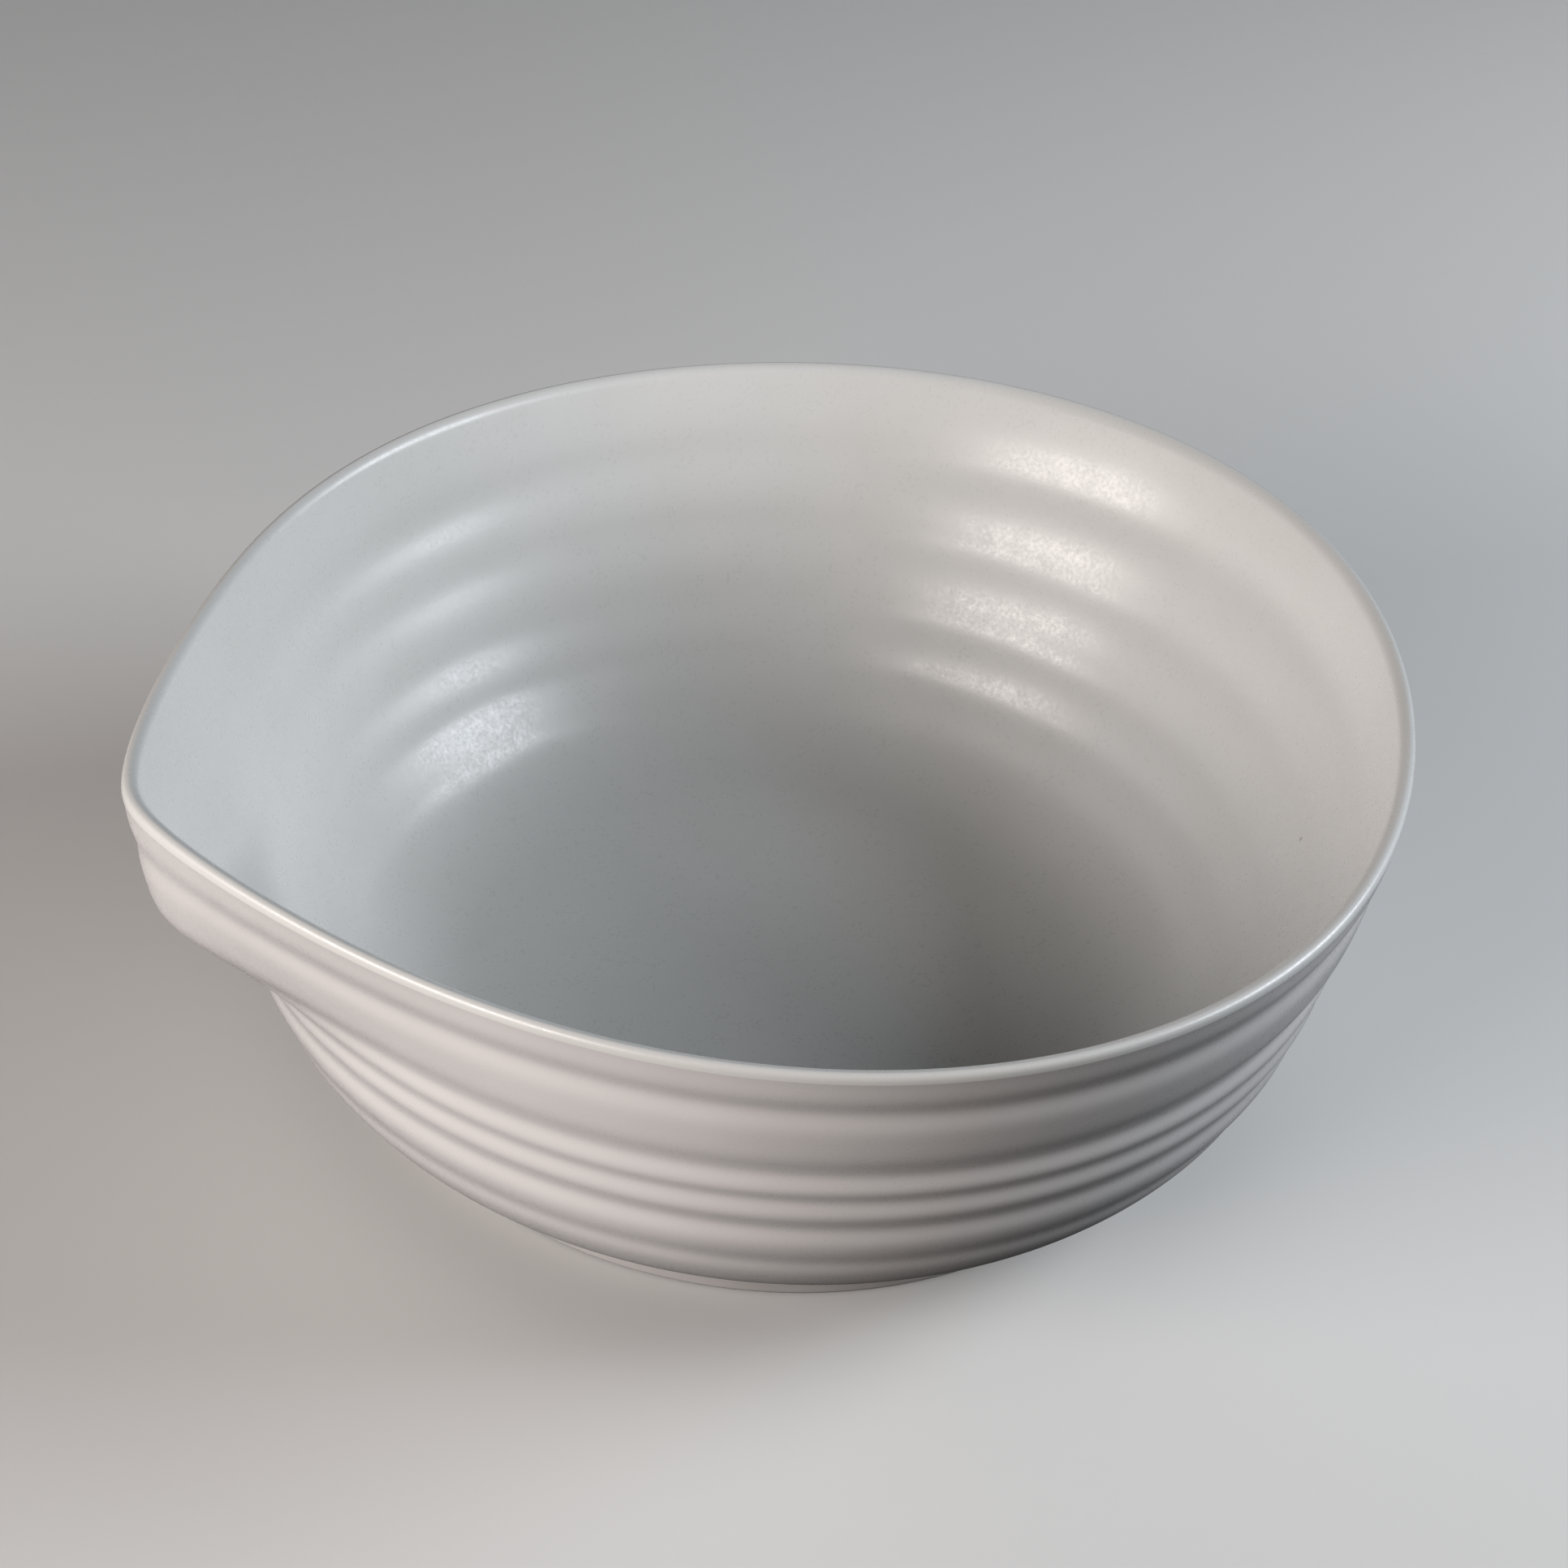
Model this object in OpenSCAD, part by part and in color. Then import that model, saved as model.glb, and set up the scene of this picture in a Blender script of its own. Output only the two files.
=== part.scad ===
// Wheel-thrown porcelain bowl with a pulled pouring lip, glazed inside and out.
// Millimetres. +Z is up, the origin is the centre of the foot's resting face,
// and the pouring lip points along -X.

/* [Bowl] */
// Radius of the rim, to the middle of its rounded edge
rim_r = 90; // [84:0.5:96]
// Height of the middle of the rounded edge above the table
rim_z = 65.9; // [64:0.1:68]
// Thickness of the rounded edge, glaze included
lip_thick = 3; // [2.6:0.1:3.4]
// Height of the floor inside, at its centre
floor_z = 9.4; // [9:0.1:10.5]
// Thickness of the fired glaze coats
glaze = 0.4; // [0.3:0.05:0.5]

/* [Foot ring] */
// Outer radius of the foot at the table
foot_r = 61; // [60:0.1:62]
// Width of the foot's resting face
foot_w = 5.5; // [4:0.5:7]
// Height of the foot
foot_z = 5.4; // [5:0.1:6]

/* [Throwing rings] */
// Depth of the grooves left by the fingers outside
groove_depth = 1.1; // [0.5:0.1:1.3]
// Depth of the softer grooves inside
inner_groove_depth = 0.35; // [0.1:0.05:0.5]

/* [Pouring lip] */
// How far the lip is pulled out of the rim
spout_pull = 13.7; // [10:0.1:14]
// How far down the wall the pull reaches
spout_depth = 25.6; // [24:0.1:28]
// Half width of the pull at the rim, in degrees
spout_half_angle = 11.6; // [9:0.1:14]

/* [Hand-made rim] */
// How far the rim sits off the foot's centre
rim_shift = 2.9; // [0:0.1:3.5]
// Direction in which it sits off centre, in degrees
rim_shift_dir = -16; // [-30:1:0]
// How much longer than wide the rim is pressed, as a radius
oval = 3; // [0:0.1:3.5]
// Direction of the oval's long axis, in degrees
oval_dir = 44; // [30:1:50]
// Three-sided unevenness of the rim, as a radius
three_sided = 1; // [0:0.1:1.5]
// Four-sided unevenness of the rim, as a radius
four_sided = 0.6; // [0:0.1:1]

/* [Hidden] */
segments = 60;           // flat facets round the bowl
outer_rows = 26;         // facets down the outside
inner_rows = 12;         // facets from the rim down to the floor's edge
floor_rows = 4;          // facets from there to the centre of the floor
lip_rows = 5;            // facets over the rounded edge
wall_z = rim_z - foot_z;
lip_r = lip_thick / 2;
seat_r = foot_r + 0.8;   // where the outer glaze begins
foot_bevel = 0.8;
foot_flare = 0.4;        // how much the foot widens on each side towards the bowl
glaze_z = foot_z + 1.4;  // the clay is bare from the foot up to here
under_rise = 0.4;        // how much the underside hollows towards its centre
spout_narrowing = 0.36;  // how much narrower the pull is at its lower end
spout_chin = 1.9;        // how far a fingertip has pushed out its lower end
chin_depth = 27.4;       // depth of that bump below the rim
chin_size = [3.2, 2.4];  // half its width in degrees, half its height
spout_edge = 2.2;        // softness of the pull's lower edge
spout_sharpness = 1.32;  // 2 is a round bulge, 1 a pointed one
tip_round = 2.7;         // rounds the pointed tip, in degrees
three_sided_dir = 28;
four_sided_dir = 19;
rim_fade = 2.4;          // how fast the unevenness fades down the wall
outer_grooves = [7.6, 22.3, 28.3, 35, 43.7];  // depths below the rim
outer_widths = [2.4, 2.8, 2.0, 2.3, 2.3];
outer_strength = [0.8, 1.1, 1.1, 1, 0.5];
inner_grooves = [10, 19, 27, 35];
inner_width = 2.6;

// A point of a cubic curve at t from 0 to 1.
function bezier(p, t) =
    pow(1 - t, 3) * p[0] + 3 * pow(1 - t, 2) * t * p[1]
    + 3 * (1 - t) * t * t * p[2] + pow(t, 3) * p[3];

function bell(x) = exp(-x * x);

// How deep the throwing rings cut at height z.
function outer_cut(z) = groove_depth * sum([
    for (i = [0:len(outer_grooves) - 1])
        outer_strength[i] * bell((rim_z - z - outer_grooves[i]) / outer_widths[i])]);
function inner_cut(z) = inner_groove_depth * sum([
    for (d = inner_grooves) bell((rim_z - z - d) / inner_width)]);
function sum(list) = list * [for (v = list) 1];

// Outline of the bowl as turned, before the rim is pressed oval and pulled.
// Each is a list of [radius, height], running from the foot over the rim to
// the middle of the floor. The two middle points of a curve pull it into shape.
belly_pull = [-8.5, 5.3];         // outside, from the rim's radius and the glaze's start
shoulder_pull = [-7.3, -31.5];    // outside, from the middle of the rim
lip_pull = [[0.8, 2.5], [0.6, 1.5]];  // over the edge, from its outer and inner side
wall_pull = [[-17, -36], [-23, 4]];  // inside, from the rim and from floor height
floor_edge = [rim_r - 42, floor_z + 1.2];
floor_pull = [[-8, 0.3], [-24, 0]];  // along the floor, from its edge and its height
outer_curve = [[seat_r, glaze_z], [rim_r, glaze_z] + belly_pull,
               [rim_r, rim_z] + shoulder_pull, [rim_r + lip_r, rim_z]];
lip_curve = [[rim_r + lip_r, rim_z], [rim_r + lip_r, rim_z] + lip_pull[0],
             [rim_r - lip_r, rim_z] + lip_pull[1], [rim_r - lip_r, rim_z]];
wall_curve = [[rim_r - lip_r, rim_z], [rim_r, rim_z] + wall_pull[0],
              [rim_r, floor_z] + wall_pull[1], floor_edge];
floor_curve = [floor_edge, [floor_edge.x, floor_z] + floor_pull[0],
               [floor_edge.x, floor_z] + floor_pull[1], [0, floor_z]];
outer_line = [for (i = [0:outer_rows - 1])
    let (p = bezier(outer_curve, i / outer_rows)) [p.x - outer_cut(p.y), p.y]];
lip_line = [for (i = [0:lip_rows]) bezier(lip_curve, i / lip_rows)];
inner_line = [for (i = [1:inner_rows])
    let (p = bezier(wall_curve, i / inner_rows)) [p.x + inner_cut(p.y), p.y]];
floor_line = [for (i = [1:floor_rows]) bezier(floor_curve, i / floor_rows)];
under_line = [[0, foot_z + under_rise], [foot_r / 2, foot_z + under_rise / 2],
              [foot_r - foot_w - 1, foot_z], [foot_r + foot_flare, foot_z]];

// The glazed surface, and the clay surface one glaze thickness under it.
glazed = concat(outer_line, lip_line, inner_line, floor_line);
function inset(line, i, d) = let (
        a = line[max(i - 1, 0)], b = line[min(i + 1, len(line) - 1)],
        along = (b - a) / norm(b - a))
    i == 0 ? line[0] - [d, 0]
    : i == len(line) - 1 ? line[i] - [0, d]
    : line[i] + d * [-along.y, along.x];
clay = [for (i = [0:len(glazed) - 1]) inset(glazed, i, glaze)];
rim_edge = outer_rows;       // index where the two glazes meet

// How far the hand moves the wall outwards at azimuth a and height z.
function pressed(a, z) = pow(max(z - foot_z, 0) / wall_z, rim_fade) * (
    rim_shift * cos(a - rim_shift_dir) + oval * cos(2 * (a - oval_dir))
    + three_sided * cos(3 * (a - three_sided_dir))
    + four_sided * cos(4 * (a - four_sided_dir)));
function pulled(a, z) =
    let (level = min(max(1 - (rim_z - z) / spout_depth, 0), 1),
         half = spout_half_angle * (1 - spout_narrowing * (1 - level)),
         off = norm([abs(a) - 180, tip_round]) / half)
    spout_pull * exp(-pow(off, spout_sharpness) / 2)
    / (1 + exp((rim_z - z - spout_depth) / spout_edge))
    + spout_chin * bell((abs(a) - 180) / chin_size[0])
    * bell((rim_z - z - chin_depth) / chin_size[1]);
function place(a, p) = let (r = p.x + pressed(a, p.y) + pulled(a, p.y))
    [r * cos(a), r * sin(a), p.y];

azimuths = [for (j = [0:segments - 1]) 360 * j / segments - 180];

// Two triangles between rows p and q, split the same way whichever way the
// rows are listed, so that two skins share their triangles.
function strip(p, q, flip) = [
    for (j = [0:segments - 1])
        let (k = (j + 1) % segments)
            each flip ? [[p + j, q + j, p + k], [q + j, q + k, p + k]]
                      : [[p + j, q + j, q + k], [p + j, q + k, p + k]]];
function strips(line, first) = [
    for (i = [0:len(line) - 2])
        each strip(first + i * segments, first + (i + 1) * segments,
                   line[i].y > line[i + 1].y)];
function rings(line) = [for (p = line) for (a = azimuths) place(a, p)];

// A closed skin whose outline starts and ends on the axis.
module capped(line) {
    n = len(line);
    body = [for (i = [1:n - 2]) line[i]];
    last = 1 + (n - 3) * segments;
    top = 1 + (n - 2) * segments;
    polyhedron(
        points = concat([[0, 0, line[0].y]], rings(body), [[0, 0, line[n - 1].y]]),
        faces = concat(
            [for (j = [0:segments - 1]) [0, 1 + j, 1 + (j + 1) % segments]],
            strips(body, 1),
            [for (j = [0:segments - 1]) [last + j, top, last + (j + 1) % segments]]));
}

// A closed skin whose outline is a loop that stays off the axis.
module looped(line) {
    n = len(line);
    polyhedron(
        points = rings(line),
        faces = concat(strips(line, 0),
            strip((n - 1) * segments, 0, line[n - 1].y > line[0].y)));
}

function backwards(line) = [for (i = [len(line) - 1:-1:0]) line[i]];
function part_of(line, first, last) = [for (i = [first:last]) line[i]];

// The thrown and pulled clay wall with its floor.
module clay_body() {
    color("ivory") capped(concat(under_line, clay));
}

// The turned ring that the bowl stands on, left bare at the table.
module foot_ring() {
    color("linen") rotate_extrude($fn = 120) polygon([
        [foot_r - foot_w, foot_bevel], [foot_r - foot_w + foot_bevel, 0],
        [foot_r - foot_bevel, 0], [foot_r, foot_bevel],
        [foot_r + foot_flare, foot_z], [foot_r - foot_w - foot_flare, foot_z]]);
}

// The glaze coat over the inside and the rounded edge.
module inner_glaze() {
    last = len(glazed) - 1;
    color("whitesmoke") capped(concat(
        backwards(part_of(clay, rim_edge, last)), part_of(glazed, rim_edge, last)));
}

// The glaze coat over the outside, down to the foot.
module outer_glaze() {
    color("snow") looped(concat(
        backwards(part_of(clay, 0, rim_edge)), part_of(glazed, 0, rim_edge)));
}

clay_body();
foot_ring();
inner_glaze();
outer_glaze();
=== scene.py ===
import math

import bpy
import numpy as np
from mathutils import Matrix, Vector


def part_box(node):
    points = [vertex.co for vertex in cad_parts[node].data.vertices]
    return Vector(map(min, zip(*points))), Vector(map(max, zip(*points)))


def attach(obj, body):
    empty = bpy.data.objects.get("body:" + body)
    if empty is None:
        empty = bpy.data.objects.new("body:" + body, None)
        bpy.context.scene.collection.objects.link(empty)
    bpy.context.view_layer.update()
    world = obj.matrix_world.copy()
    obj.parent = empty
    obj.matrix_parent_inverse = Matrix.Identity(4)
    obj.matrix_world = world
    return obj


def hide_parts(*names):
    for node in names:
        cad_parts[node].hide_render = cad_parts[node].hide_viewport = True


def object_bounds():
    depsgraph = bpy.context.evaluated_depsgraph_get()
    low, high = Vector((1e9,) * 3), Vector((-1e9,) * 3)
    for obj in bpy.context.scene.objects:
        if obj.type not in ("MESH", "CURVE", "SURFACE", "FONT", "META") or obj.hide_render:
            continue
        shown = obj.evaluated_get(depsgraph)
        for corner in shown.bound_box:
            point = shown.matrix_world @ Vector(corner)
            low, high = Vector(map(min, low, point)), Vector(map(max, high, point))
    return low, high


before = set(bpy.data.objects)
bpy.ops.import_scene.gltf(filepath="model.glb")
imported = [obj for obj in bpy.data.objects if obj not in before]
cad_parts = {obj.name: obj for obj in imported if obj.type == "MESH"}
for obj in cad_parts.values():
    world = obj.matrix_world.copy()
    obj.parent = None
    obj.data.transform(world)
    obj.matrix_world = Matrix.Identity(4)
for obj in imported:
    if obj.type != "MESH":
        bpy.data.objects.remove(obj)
cad_box = [list(corner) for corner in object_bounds()]

# ---------------------------------------------------------------- sizes, in millimetres
MM = 0.001
foot_low, foot_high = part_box("foot_ring")
FOOT_FLARE = 0.4                           # the foot widens towards the bowl
FOOT_R = (foot_high.x - foot_low.x) / 2 / MM - FOOT_FLARE
FOOT_Z = foot_high.z / MM
BARE_CLAY = 1.4                            # height of the clay left bare above the foot
GLAZE_Z = FOOT_Z + BARE_CLAY
GLAZE_STEP = 0.8                           # how far the glaze's lower edge stands out from the foot
FOOT_W = 5.5
LIP_R = 1.5                                # half the thickness of the rounded edge
RIM_Z = cad_box[1][2] / MM - LIP_R         # middle of the rounded edge
RIM_R = 90
FLOOR_Z = 9.4
GLAZE = 0.4

# Outline of the bowl as turned: cubic curves of [radius, height].
OUTER_CURVE = [(FOOT_R + GLAZE_STEP, GLAZE_Z), (RIM_R - 8.5, GLAZE_Z + 5.3),
               (RIM_R - 7.3, RIM_Z - 31.5), (RIM_R + LIP_R, RIM_Z)]
WALL_CURVE = [(RIM_R - LIP_R, RIM_Z), (RIM_R - 17, RIM_Z - 36),
              (RIM_R - 23, FLOOR_Z + 4), (RIM_R - 42, FLOOR_Z + 1.2)]
FLOOR_CURVE = [WALL_CURVE[-1], (RIM_R - 50, FLOOR_Z + 0.3), (RIM_R - 66, FLOOR_Z), (0, FLOOR_Z)]
LIP_CURVE = [(RIM_R + LIP_R, RIM_Z), (RIM_R + LIP_R + 0.2, RIM_Z + 2.2),
             (RIM_R - LIP_R + 0.6, RIM_Z + 1.6), (RIM_R - LIP_R, RIM_Z)]

# Throwing rings: depth under the rim, how deep, how wide above and below, how far
# they dip and climb round the bowl.
OUTER_GROOVES = [(0.0, 0.35, 2.5, 3.2, 0.0), (7.6, 0.9, 2.6, 2.6, 0.2), (22.3, 1.1, 3.2, 2.6, 0.3),
                 (28.3, 0.8, 2.2, 2.2, 0.3), (35.0, 0.9, 2.6, 2.4, 0.4), (43.7, 0.5, 2.6, 2.2, 0.3)]
INNER_GROOVES = [(11.5, 0.7, 3.6, 3.4, 2.2), (22.4, 0.5, 3.0, 3.2, 1.0), (33.4, 0.55, 3.2, 2.8, 0.8),
                 (41.4, 0.4, 2.2, 2.4, 0.8), (48.9, 0.45, 2.6, 2.6, 0.6)]

# How the hand has moved the rim: (times round, by how much, direction in degrees).
RIM_WAVES = [(1, 2.9, -16), (2, 3.0, 44), (3, 1.0, 28), (4, 0.6, 19)]
RIM_FADE = 2.4
SPOUT_PULL = 13.7
SPOUT_DEPTH = 25.6
SPOUT_HALF = 11.6                          # degrees
SPOUT_NARROWING = 0.5                      # how much narrower the pull is at its lower end
SPOUT_EDGE = 1.8
SPOUT_CHIN = 2.1                           # how far a fingertip has pushed out its lower end
CHIN_DEPTH = 27.4                          # depth of that bump below the rim
CHIN_HALF, CHIN_HIGH = 3.0, 2.2            # half its width in degrees, half its height
SPOUT_SMOOTHED = 0.5                       # how much of the rings the pull has wiped away
SMOOTHED_HALF = 16                         # degrees
SPOUT_SHARPNESS = 1.32
TIP_ROUND = 2.7                            # degrees

AROUND = 320                               # mesh points round the bowl
CROWDING = 0.55                            # how much closer together they are near the pouring lip
AXIS_FADE = 20                             # within this radius the hand-made shape fades out
UNDER_RISE = 0.4                           # how much the underside hollows towards its centre
FOOT_ROUND = 0.8                           # radius of the foot's edges
OUTER_ROWS, LIP_ROWS, INNER_ROWS, FLOOR_ROWS = 150, 14, 100, 30


# ---------------------------------------------------------------- shape
def bezier(points, t):
    p = np.array(points, float)
    t = t[:, None]
    return ((1 - t)**3 * p[0] + 3 * (1 - t)**2 * t * p[1]
            + 3 * (1 - t) * t * t * p[2] + t**3 * p[3])


def bell(x):
    return np.exp(-x * x)


def grooves(table, z, turn):
    """How deep the throwing rings cut at height z and azimuth turn."""
    cut = np.zeros_like(z)
    for i, (depth, deep, above, below, wander) in enumerate(table):
        off = RIM_Z - z - depth - wander * np.sin(turn - math.pi / 3 + 0.4 * i)
        wide = np.where(off < 0, above, below)
        cut += deep * (1 + 0.12 * np.sin(turn + 1.3 * i)) * bell(off / wide)
    from_tip = 180 - np.degrees(np.abs(turn))
    return cut * (1 - SPOUT_SMOOTHED * bell(from_tip / SMOOTHED_HALF))


def pressed(turn, z):
    """How far the hand-made rim leans outwards."""
    level = np.clip((z - FOOT_Z) / (RIM_Z - FOOT_Z), 0, None)
    waves = sum(size * np.cos(times * (turn - math.radians(way))) for times, size, way in RIM_WAVES)
    return level**RIM_FADE * waves


def pulled(turn, z):
    """How far the pouring lip stands out of the wall."""
    level = np.clip(1 - (RIM_Z - z) / SPOUT_DEPTH, 0, 1)
    half = SPOUT_HALF * (1 - SPOUT_NARROWING * (1 - level))
    from_tip = 180 - np.degrees(np.abs(turn))
    off = np.hypot(from_tip, TIP_ROUND) / half
    edge = 1 / (1 + np.exp((RIM_Z - z - SPOUT_DEPTH) / SPOUT_EDGE))
    chin = SPOUT_CHIN * bell(from_tip / CHIN_HALF) * bell((RIM_Z - z - CHIN_DEPTH) / CHIN_HIGH)
    return SPOUT_PULL * np.exp(-off**SPOUT_SHARPNESS / 2) * edge + chin


def turns():
    """Azimuths round the bowl, closer together near the pouring lip at 180 degrees."""
    even = np.linspace(-math.pi, math.pi, AROUND, endpoint=False)
    return even + CROWDING * np.sin(even)


def placed(line, table, sign):
    """The outline swept round the bowl, with its rings cut in, rim pressed and lip pulled."""
    turn = turns()[None, :]
    r, z = line[:, :1] + 0 * turn, line[:, 1:] + 0 * turn
    shift = pressed(turn, z) + pulled(turn, z) + sign * grooves(table, z, turn)
    r = np.where(r > 0, r + shift * np.clip(r / AXIS_FADE, 0, 1), 0)
    return np.stack([r * np.cos(turn), r * np.sin(turn), z], -1)


outer_line = bezier(OUTER_CURVE, np.linspace(0, 1, OUTER_ROWS, endpoint=False))
lip_line = bezier(LIP_CURVE, np.linspace(0, 1, LIP_ROWS + 1))
inner_line = np.concatenate([bezier(WALL_CURVE, np.linspace(0, 1, INNER_ROWS + 1))[1:],
                             bezier(FLOOR_CURVE, np.linspace(0, 1, FLOOR_ROWS + 1))[1:]])


def inset(line, by):
    """The outline moved into the clay by a coat's thickness."""
    along = np.gradient(line, axis=0)
    along /= np.linalg.norm(along, axis=1)[:, None]
    moved = line + by * np.stack([-along[:, 1], along[:, 0]], -1)
    moved[0] = line[0] - (by, 0)
    moved[-1] = (0, line[-1][1] - by)
    return moved


surface = np.concatenate([outer_line, lip_line, inner_line])
clay = inset(surface, GLAZE)
EDGE = OUTER_ROWS                          # the row where the two glazes meet


def swept(line):
    """The whole outline as rows of points, outside rings on the outside, inside ones inside."""
    rows = placed(line, OUTER_GROOVES, -1)
    inside = placed(line, INNER_GROOVES, 1)
    middle = EDGE + LIP_ROWS // 2
    rows[middle:] = inside[middle:]
    return rows


glaze_rows, clay_rows = swept(surface), swept(clay)


# ---------------------------------------------------------------- mesh
def make_piece(name, rows, closed_loop):
    """A closed skin from rows of points. Rows at radius 0 become one point."""
    verts, index = [], []
    for row in rows:
        if np.abs(row[:, :2]).max() < 1e-6:
            index.append(np.full(AROUND, len(verts)))
            verts.append(row[0])
        else:
            index.append(np.arange(AROUND) + len(verts))
            verts.extend(row)
    faces = []
    pairs = list(zip(index, index[1:]))
    if closed_loop:
        pairs.append((index[-1], index[0]))
    for low, high in pairs:
        for j in range(AROUND):
            k = (j + 1) % AROUND
            corners = [low[j], low[k], high[k], high[j]]
            face = [int(c) for n, c in enumerate(corners) if c != corners[n - 1]]
            if len(face) > 2:
                faces.append(face)
    mesh = bpy.data.meshes.new(name)
    mesh.from_pydata([tuple(np.array(v) * MM) for v in verts], [], faces)
    mesh.validate()
    mesh.update()
    mesh.polygons.foreach_set("use_smooth", [True] * len(mesh.polygons))
    mesh.set_sharp_from_angle(angle=math.radians(50))
    piece = bpy.data.objects.new(name, mesh)
    bpy.context.collection.objects.link(piece)
    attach(piece, "root")
    return piece


def ring_rows(outline):
    """Rows of a plain turned shape from its outline."""
    turn = turns()
    return [np.stack([r * np.cos(turn), r * np.sin(turn), np.full(AROUND, z)], -1)
            for r, z in outline]


def arc(centre_r, centre_z, radius, start, end, steps):
    angles = np.radians(np.linspace(start, end, steps))
    return [(centre_r + radius * math.cos(a), centre_z + radius * math.sin(a)) for a in angles]


under = ring_rows([(0, FOOT_Z + UNDER_RISE), (12, FOOT_Z + 0.39), (25, FOOT_Z + 0.34), (38, FOOT_Z + 0.24),
                   (48, FOOT_Z + 0.1), (FOOT_R - FOOT_W - 1, FOOT_Z), (FOOT_R + FOOT_FLARE, FOOT_Z)])
clay_piece = make_piece("bowl_clay", list(under) + list(clay_rows), False)
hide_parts("clay_body")

inner_piece = make_piece(
    "inner_glaze_coat", list(clay_rows[EDGE:][::-1]) + list(glaze_rows[EDGE:]), False)
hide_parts("inner_glaze")

outer_piece = make_piece(
    "outer_glaze_coat", list(clay_rows[:EDGE + 1][::-1]) + list(glaze_rows[:EDGE + 1]), True)
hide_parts("outer_glaze")

foot_outline = (
    [(FOOT_R - FOOT_W - FOOT_FLARE, FOOT_Z), (FOOT_R - FOOT_W - FOOT_FLARE / 2, FOOT_Z / 2)]
    + arc(FOOT_R - FOOT_W + FOOT_ROUND, FOOT_ROUND, FOOT_ROUND, 180, 270, 6)
    + arc(FOOT_R - FOOT_ROUND, FOOT_ROUND, FOOT_ROUND, 270, 360, 6)
    + [(FOOT_R + FOOT_FLARE / 2, FOOT_Z / 2), (FOOT_R + FOOT_FLARE, FOOT_Z)])
foot_piece = make_piece("turned_foot", ring_rows(foot_outline), True)
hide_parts("foot_ring")


# ---------------------------------------------------------------- materials
class Nodes:
    """Short names for building a node material."""

    def __init__(self, name):
        self.material = bpy.data.materials.new(name)
        self.material.use_nodes = True
        self.tree = self.material.node_tree
        self.shader = self.tree.nodes["Principled BSDF"]
        self.place = self.add("ShaderNodeTexCoord").outputs["Object"]

    def add(self, kind, **settings):
        node = self.tree.nodes.new(kind)
        for key, value in settings.items():
            setattr(node, key, value)
        return node

    def link(self, source, socket):
        self.tree.links.new(source, socket)

    def noise(self, scale, detail=2.0, rough=0.5, where=None):
        node = self.add("ShaderNodeTexNoise")
        node.inputs["Scale"].default_value = scale
        node.inputs["Detail"].default_value = detail
        node.inputs["Roughness"].default_value = rough
        self.link(where or self.place, node.inputs["Vector"])
        return node.outputs["Fac"]

    def maths(self, operation, a, b=0.0):
        node = self.add("ShaderNodeMath", operation=operation)
        for socket, value in zip(node.inputs, (a, b)):
            if isinstance(value, (int, float)):
                socket.default_value = value
            else:
                self.link(value, socket)
        return node.outputs[0]

    def remap(self, source, low, high, to_low, to_high):
        node = self.add("ShaderNodeMapRange")
        limits = {"From Min": low, "From Max": high, "To Min": to_low, "To Max": to_high}
        for key, value in limits.items():
            node.inputs[key].default_value = value
        self.link(source, node.inputs["Value"])
        return node.outputs["Result"]

    def blend(self, fac, first, second):
        node = self.add("ShaderNodeMix", data_type="RGBA")
        self.link(fac, node.inputs["Factor"])
        for socket, value in zip((node.inputs[6], node.inputs[7]), (first, second)):
            if isinstance(value, tuple):
                socket.default_value = (*value, 1)
            else:
                self.link(value, socket)
        return node.outputs[2]

    def turned_lines(self, scale):
        """Fine lines that run round the bowl: noise over radius and height only."""
        split = self.add("ShaderNodeSeparateXYZ")
        self.link(self.place, split.inputs[0])
        x, y, z = split.outputs
        squares = self.maths("ADD", self.maths("MULTIPLY", x, x), self.maths("MULTIPLY", y, y))
        radius = self.maths("SQRT", squares)
        joined = self.add("ShaderNodeCombineXYZ")
        self.link(radius, joined.inputs[0])
        self.link(z, joined.inputs[2])
        return self.noise(scale, 3, 0.6, joined.outputs[0])

    def bump(self, height, distance, strength=1.0, under_bump=None):
        node = self.add("ShaderNodeBump")
        node.inputs["Distance"].default_value = distance
        node.inputs["Strength"].default_value = strength
        self.link(height, node.inputs["Height"])
        if under_bump is not None:
            self.link(under_bump, node.inputs["Normal"])
        return node.outputs["Normal"]


def satin_glaze(name, pale, deep, speck):
    """Satin porcelain glaze: soft cloudy colour, fine crystals that break up the gloss, a few specks."""
    n = Nodes(name)
    clouds = n.remap(n.noise(28, 3, 0.55), 0.35, 0.65, 0, 1)
    colour = n.blend(clouds, deep, pale)
    cells = n.add("ShaderNodeTexVoronoi", feature="F1")
    cells.inputs["Scale"].default_value = 42
    n.link(n.place, cells.inputs["Vector"])
    dot = n.remap(cells.outputs["Distance"], 0.012, 0.02, 1, 0)
    chosen = n.add("ShaderNodeSeparateColor")
    n.link(cells.outputs["Color"], chosen.inputs[0])
    rare = n.maths("GREATER_THAN", chosen.outputs[0], 0.94)
    colour = n.blend(n.maths("MULTIPLY", n.maths("MULTIPLY", dot, rare), 0.6), colour, speck)
    n.link(colour, n.shader.inputs["Base Color"])
    crystals = n.noise(1500, 2, 0.6)
    patches = n.noise(260, 3, 0.6)
    rough = n.maths("ADD", n.remap(crystals, 0.3, 0.7, 0.24, 0.40),
                    n.remap(patches, 0.3, 0.7, -0.03, 0.05))
    n.link(rough, n.shader.inputs["Roughness"])
    skin = n.bump(crystals, 0.00002, 0.4)
    skin = n.bump(patches, 0.00004, 0.35, skin)
    n.link(skin, n.shader.inputs["Normal"])
    n.shader.inputs["IOR"].default_value = 1.5
    return n.material


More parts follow.
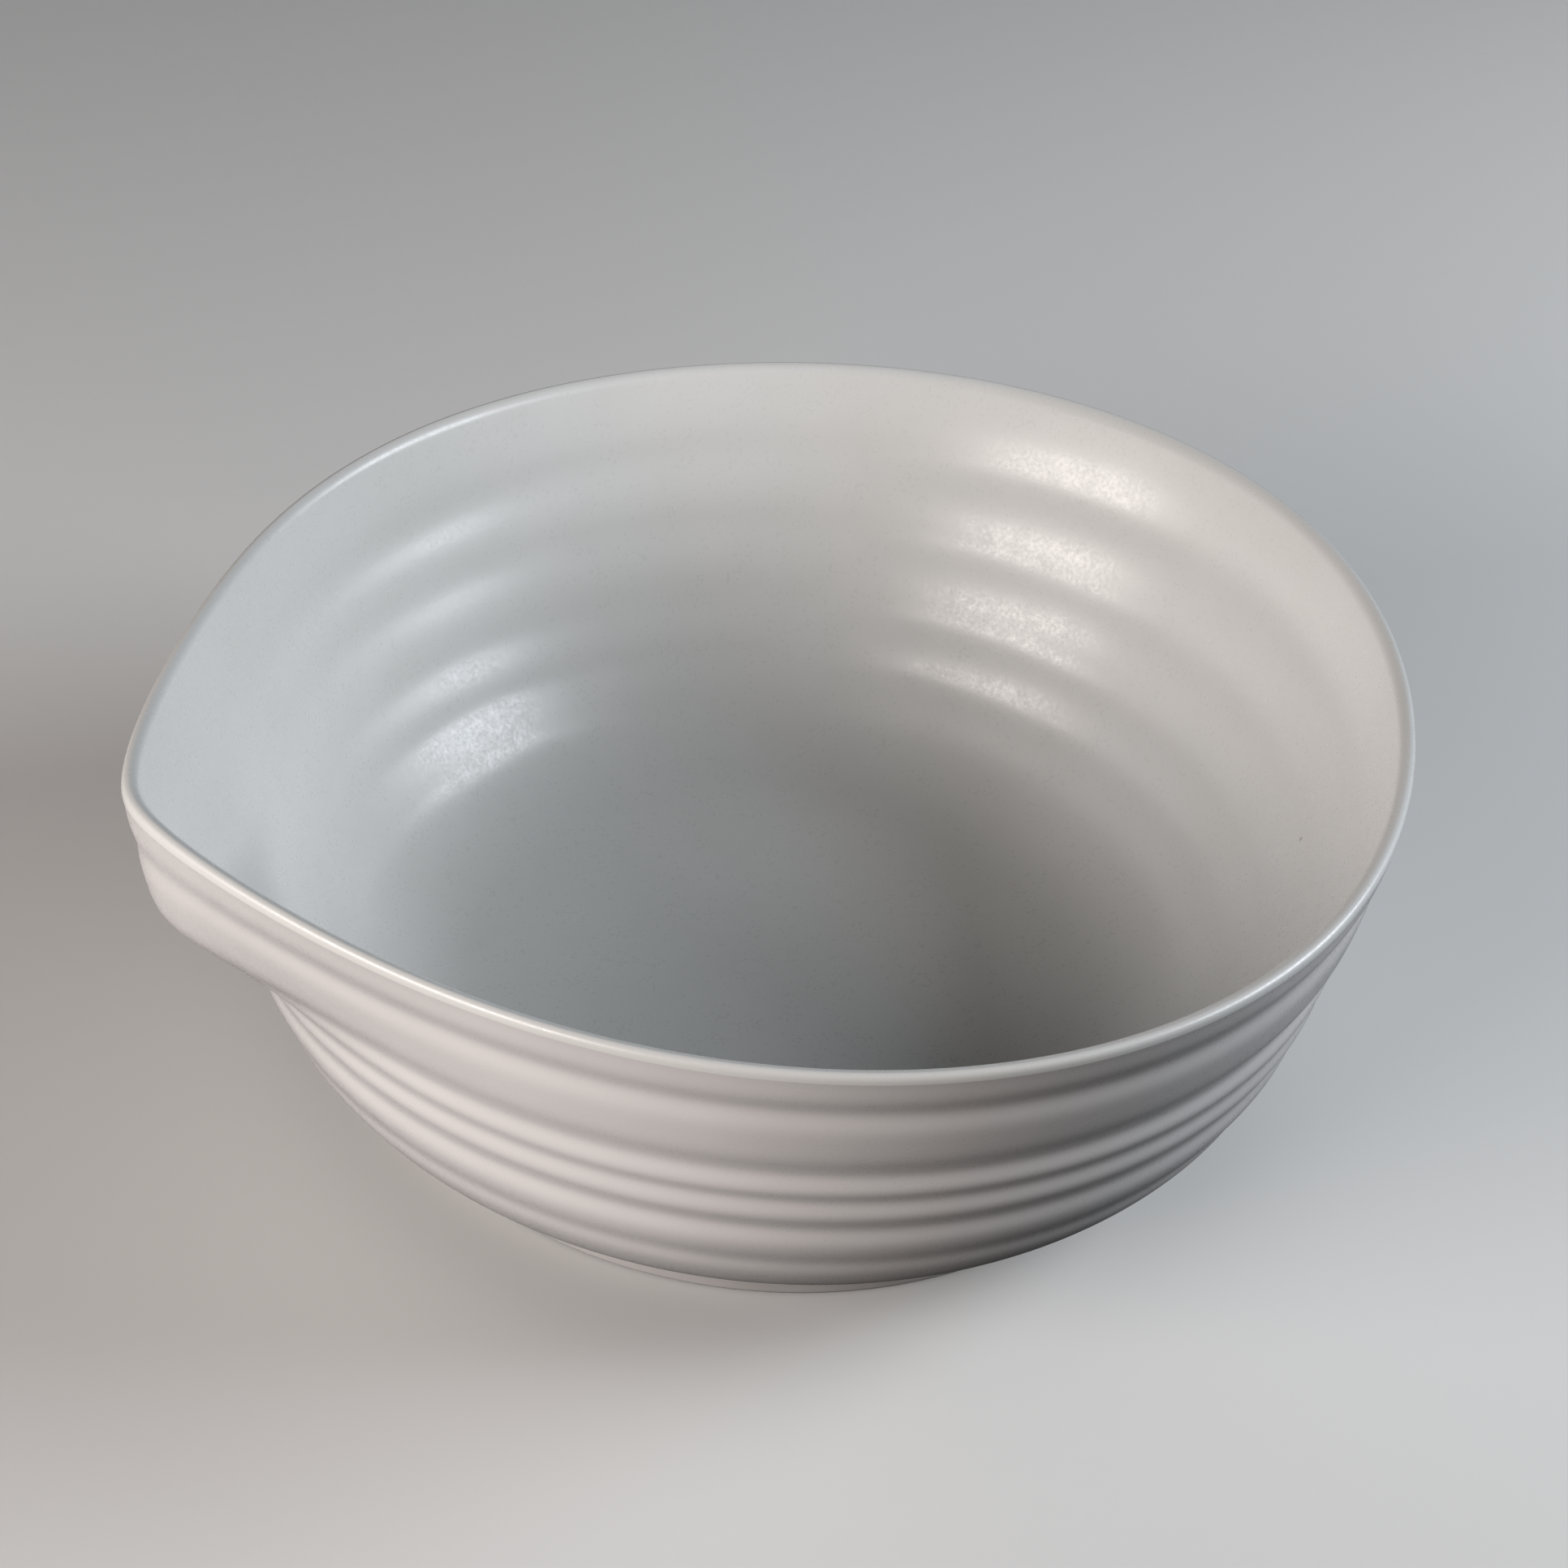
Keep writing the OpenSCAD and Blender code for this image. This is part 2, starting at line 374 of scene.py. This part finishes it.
def bare_porcelain(name, pale, deep):
    """Unglazed porcelain, matte, with the turning tool's fine lines."""
    n = Nodes(name)
    grain = n.noise(900, 3, 0.6)
    colour = n.blend(n.remap(n.noise(60, 3, 0.6), 0.35, 0.65, 0, 1), deep, pale)
    n.link(colour, n.shader.inputs["Base Color"])
    n.link(n.remap(grain, 0.3, 0.7, 0.62, 0.8), n.shader.inputs["Roughness"])
    skin = n.bump(grain, 0.00004, 0.6)
    n.link(n.bump(n.turned_lines(900), 0.0001, 0.7, skin), n.shader.inputs["Normal"])
    return n.material


inner_piece.data.materials.append(
    satin_glaze("inner_satin_glaze", (0.58, 0.585, 0.575), (0.555, 0.56, 0.545), (0.2, 0.18, 0.15)))
outer_piece.data.materials.append(
    satin_glaze("outer_satin_glaze", (0.60, 0.59, 0.585), (0.575, 0.565, 0.56), (0.3, 0.26, 0.22)))
clay_piece.data.materials.append(
    bare_porcelain("bare_clay", (0.56, 0.535, 0.50), (0.52, 0.49, 0.455)))
# The foot's dark grey is painted shade: the same clay as above, darkened to stand in for the shade under
# the bowl's belly.
foot_piece.data.materials.append(
    bare_porcelain("foot_clay_painted_shade", (0.40, 0.39, 0.38), (0.36, 0.35, 0.34)))


# ---------------------------------------------------------------- stage
def polar(reach, turn, height):
    """A point in metres at that distance and azimuth from the bowl's axis."""
    angle = math.radians(turn)
    return Vector((reach * math.cos(angle), reach * math.sin(angle), height))


def floor_material():
    n = Nodes("pale_floor")
    colour = n.blend(n.noise(3, 3, 0.5), (0.60, 0.60, 0.59), (0.63, 0.63, 0.62))
    n.link(colour, n.shader.inputs["Base Color"])
    n.link(n.remap(n.noise(300, 2, 0.5), 0.3, 0.7, 0.75, 0.85), n.shader.inputs["Roughness"])
    return n.material


FLOOR_HALF = 4.0
floor_mesh = bpy.data.meshes.new("floor")
floor_mesh.from_pydata([(-FLOOR_HALF, -FLOOR_HALF, 0), (FLOOR_HALF, -FLOOR_HALF, 0),
                        (FLOOR_HALF, FLOOR_HALF, 0), (-FLOOR_HALF, FLOOR_HALF, 0)], [], [(0, 1, 2, 3)])
floor_mesh.materials.append(floor_material())
floor = bpy.data.objects.new("floor", floor_mesh)
bpy.context.collection.objects.link(floor)
# The bowl's own rays don't see the floor, so no light bounces up onto it.
floor.visible_diffuse = floor.visible_glossy = False


AIM_Z = 0.045                              # the lights point at this height
LIGHT_REACH = 0.85                         # distance of both lights from there


def soft_light(name, turn, rise, size, watts, colour):
    """A soft box at that azimuth and elevation, aimed at the bowl."""
    data = bpy.data.lights.new(name, "AREA")
    data.shape = "RECTANGLE"
    data.size, data.size_y = size
    data.energy = watts
    data.color = colour
    light = bpy.data.objects.new(name, data)
    target = Vector((0, 0, AIM_Z))
    flat = LIGHT_REACH * math.cos(math.radians(rise))
    height = LIGHT_REACH * math.sin(math.radians(rise))
    light.location = polar(flat, turn, height) + target
    light.rotation_euler = (light.location - target).to_track_quat("Z", "Y").to_euler()
    bpy.context.collection.objects.link(light)


soft_light("warm_key", -166, 16, (0.62, 0.40), 10.0, (1.0, 0.925, 0.89))
soft_light("cool_fill", -20, 27, (0.50, 0.46), 8.2, (0.90, 0.945, 1.0))

world = bpy.data.worlds.new("studio")
world.use_nodes = True
world.node_tree.nodes["Background"].inputs["Color"].default_value = (0.9, 0.95, 1.0, 1)
world.node_tree.nodes["Background"].inputs["Strength"].default_value = 0.01
bpy.context.scene.world = world
bpy.context.scene.view_settings.view_transform = "Standard"

CAMERA_AIM = Vector((-0.0009, 0.0005, 0.0462))
CAMERA_AT = polar(0.4462, -117.75, 0.3592)
CAMERA_ROLL = 5.29                         # degrees
SENSOR_WIDTH, LENS = 36, 83.85
camera_data = bpy.data.cameras.new("camera")
camera_data.sensor_width, camera_data.lens = SENSOR_WIDTH, LENS
camera = bpy.data.objects.new("camera", camera_data)
camera.location = CAMERA_AT
forward = (CAMERA_AIM - camera.location).normalized()
right = forward.cross(Vector((0, 0, 1))).normalized()
up = right.cross(forward)
turned = Matrix((right, up, -forward)).transposed() @ Matrix.Rotation(math.radians(CAMERA_ROLL), 3, "Z")
camera.rotation_mode = "QUATERNION"
camera.rotation_quaternion = turned.to_quaternion()
camera_data.clip_start, camera_data.clip_end = 0.01, 20
bpy.context.collection.objects.link(camera)
bpy.context.scene.camera = camera
